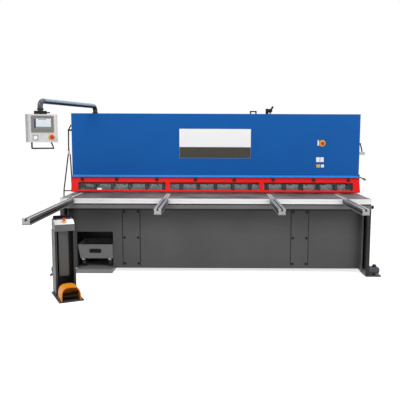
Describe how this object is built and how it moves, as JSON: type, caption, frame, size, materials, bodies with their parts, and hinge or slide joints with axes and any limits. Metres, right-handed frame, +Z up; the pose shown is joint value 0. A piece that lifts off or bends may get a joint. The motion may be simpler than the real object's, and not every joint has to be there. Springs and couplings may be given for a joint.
{
  "type": "swing beam shear",
  "caption": "Hydraulic swing beam shear for sheet metal with a T-slotted table, support arms, red finger guard, blue front cover, control pendant and foot switch pedestal.",
  "frame": {"origin": "on the floor, at the centre of the four floor anchor holes", "axes": "+X to the viewer's right when facing the table, +Y to the back of the machine, +Z up"},
  "size_m": [3.7304, 3.13, 1.909],
  "materials": {
    "frame_paint": "semi-gloss anthracite grey paint",
    "cover_blue": "semi-gloss blue paint",
    "guard_red": "semi-gloss red paint",
    "machined_steel": "ground and milled",
    "dark_steel": "blackened",
    "arm_aluminium": "anodised extrusion",
    "clear_window": "clear polycarbonate sheet",
    "black_plastic": "matt moulded",
    "stop_red": "glossy moulded",
    "stop_yellow": "glossy moulded",
    "hood_orange": "semi-gloss orange paint",
    "cabinet_grey": "textured light grey paint",
    "plate_white": "satin white",
    "black_pipe": "matt"
  },
  "bodies": {
    "frame": {"side_frame_left": "frame_paint", "side_frame_right": "frame_paint", "floor_plates": "dark_steel", "levelling_lugs": "frame_paint", "levelling_bolts": "dark_steel", "table_top": "machined_steel", "table_bed": "frame_paint", "bed_beam": "frame_paint", "lower_blade": "machined_steel", "front_panel": "frame_paint", "panel_covers": "frame_paint", "cart_track": "frame_paint", "cart_bay_wall": "frame_paint", "squaring_arm": "arm_aluminium", "squaring_fence": "arm_aluminium", "support_arms": "arm_aluminium", "front_cover": "cover_blue", "name_plate": "plate_white", "guard_frame": "guard_red", "guard_windows": "clear_window", "guard_knobs": "black_plastic", "hold_down_beam": "cabinet_grey", "top_beam": "frame_paint", "oil_tank": "frame_paint", "main_cylinders": "dark_steel", "pivot_pins": "machined_steel", "sheet_slide": "frame_paint", "rear_tie": "frame_paint", "electrical_cabinet": "cabinet_grey", "pump_motor": "cover_blue", "lifting_bracket": "frame_paint", "pressure_gauge": "black_plastic", "side_pipes": "black_pipe", "rail_knob": "black_plastic", "boom_post": "dark_steel", "pedestal_base": "frame_paint", "pedestal_column": "frame_paint", "pedestal_channel": "frame_paint", "pedestal_console": "frame_paint", "pedestal_handle": "black_plastic", "switch_hood": "hood_orange", "stop_bases": "stop_yellow"},
    "beam": {"swing_beam": "cabinet_grey", "upper_blade": "machined_steel", "cylinder_rods": "machined_steel", "back_gauge": "machined_steel"},
    "hold_down": {"hold_down_plungers": "machined_steel"},
    "boom": {"boom_tube": "cabinet_grey"},
    "pendant": {"pendant_coupling": "black_plastic", "pendant_box": "cabinet_grey", "pendant_bezel": "black_plastic", "pendant_handle": "black_plastic", "pendant_stop_base": "stop_yellow"},
    "pendant_stop": {"pendant_stop_button": "stop_red"},
    "cover_stop": {"cover_stop_button": "stop_red"},
    "pedestal_stop": {"pedestal_stop_button": "stop_red"},
    "pedal": {"foot_pedal": "black_plastic"},
    "cart": {"cart_tray": "frame_paint"},
    "front_wheel_pair": {"front_wheels": "plate_white"},
    "rear_wheel_pair": {"rear_wheels": "plate_white"}
  },
  "joints": [
    {"name": "beam_swing", "type": "hinge", "parent": "frame", "child": "beam", "pos_m": [0, 0.58, 0.93], "axis": [1, 0, 0], "range_deg": [0, 6]},
    {"name": "hold_down_press", "type": "slide", "parent": "frame", "child": "hold_down", "axis": [0, 0, -1], "range_m": [0, 0.02]},
    {"name": "boom_swivel", "type": "hinge", "parent": "frame", "child": "boom", "pos_m": [-1.43, -0.16, 1.8], "axis": [0, 0, 1], "range_deg": [-70, 70]},
    {"name": "pendant_turn", "type": "hinge", "parent": "boom", "child": "pendant", "pos_m": [-1.74561, -1.26065, 1.783], "axis": [0, 0, 1], "range_deg": [-60, 60]},
    {"name": "pendant_stop_press", "type": "slide", "parent": "pendant", "child": "pendant_stop", "axis": [-0.454, 0.891, 0], "range_m": [0, 0.005]},
    {"name": "cover_stop_press", "type": "slide", "parent": "frame", "child": "cover_stop", "axis": [0, 1, 0], "range_m": [0, 0.005]},
    {"name": "pedestal_stop_press", "type": "slide", "parent": "frame", "child": "pedestal_stop", "axis": [0, 0, -1], "range_m": [0, 0.005]},
    {"name": "pedal_press", "type": "hinge", "parent": "frame", "child": "pedal", "pos_m": [-1.40501, -1.68123, 0.046], "axis": [0.8988, 0.4384, 0], "range_deg": [0, 6], "stiffness_Nm_per_rad": 25, "springref_deg": -8.59},
    {"name": "cart_roll", "type": "slide", "parent": "frame", "child": "cart", "axis": [0, -1, 0], "range_m": [0, 0.14]},
    {"name": "front_wheels_turn", "type": "hinge", "parent": "cart", "child": "front_wheel_pair", "pos_m": [-1.3655, -0.532, 0.0903], "axis": [1, 0, 0], "continuous": true},
    {"name": "rear_wheels_turn", "type": "hinge", "parent": "cart", "child": "rear_wheel_pair", "pos_m": [-1.3655, -0.332, 0.0903], "axis": [1, 0, 0], "continuous": true}
  ]
}
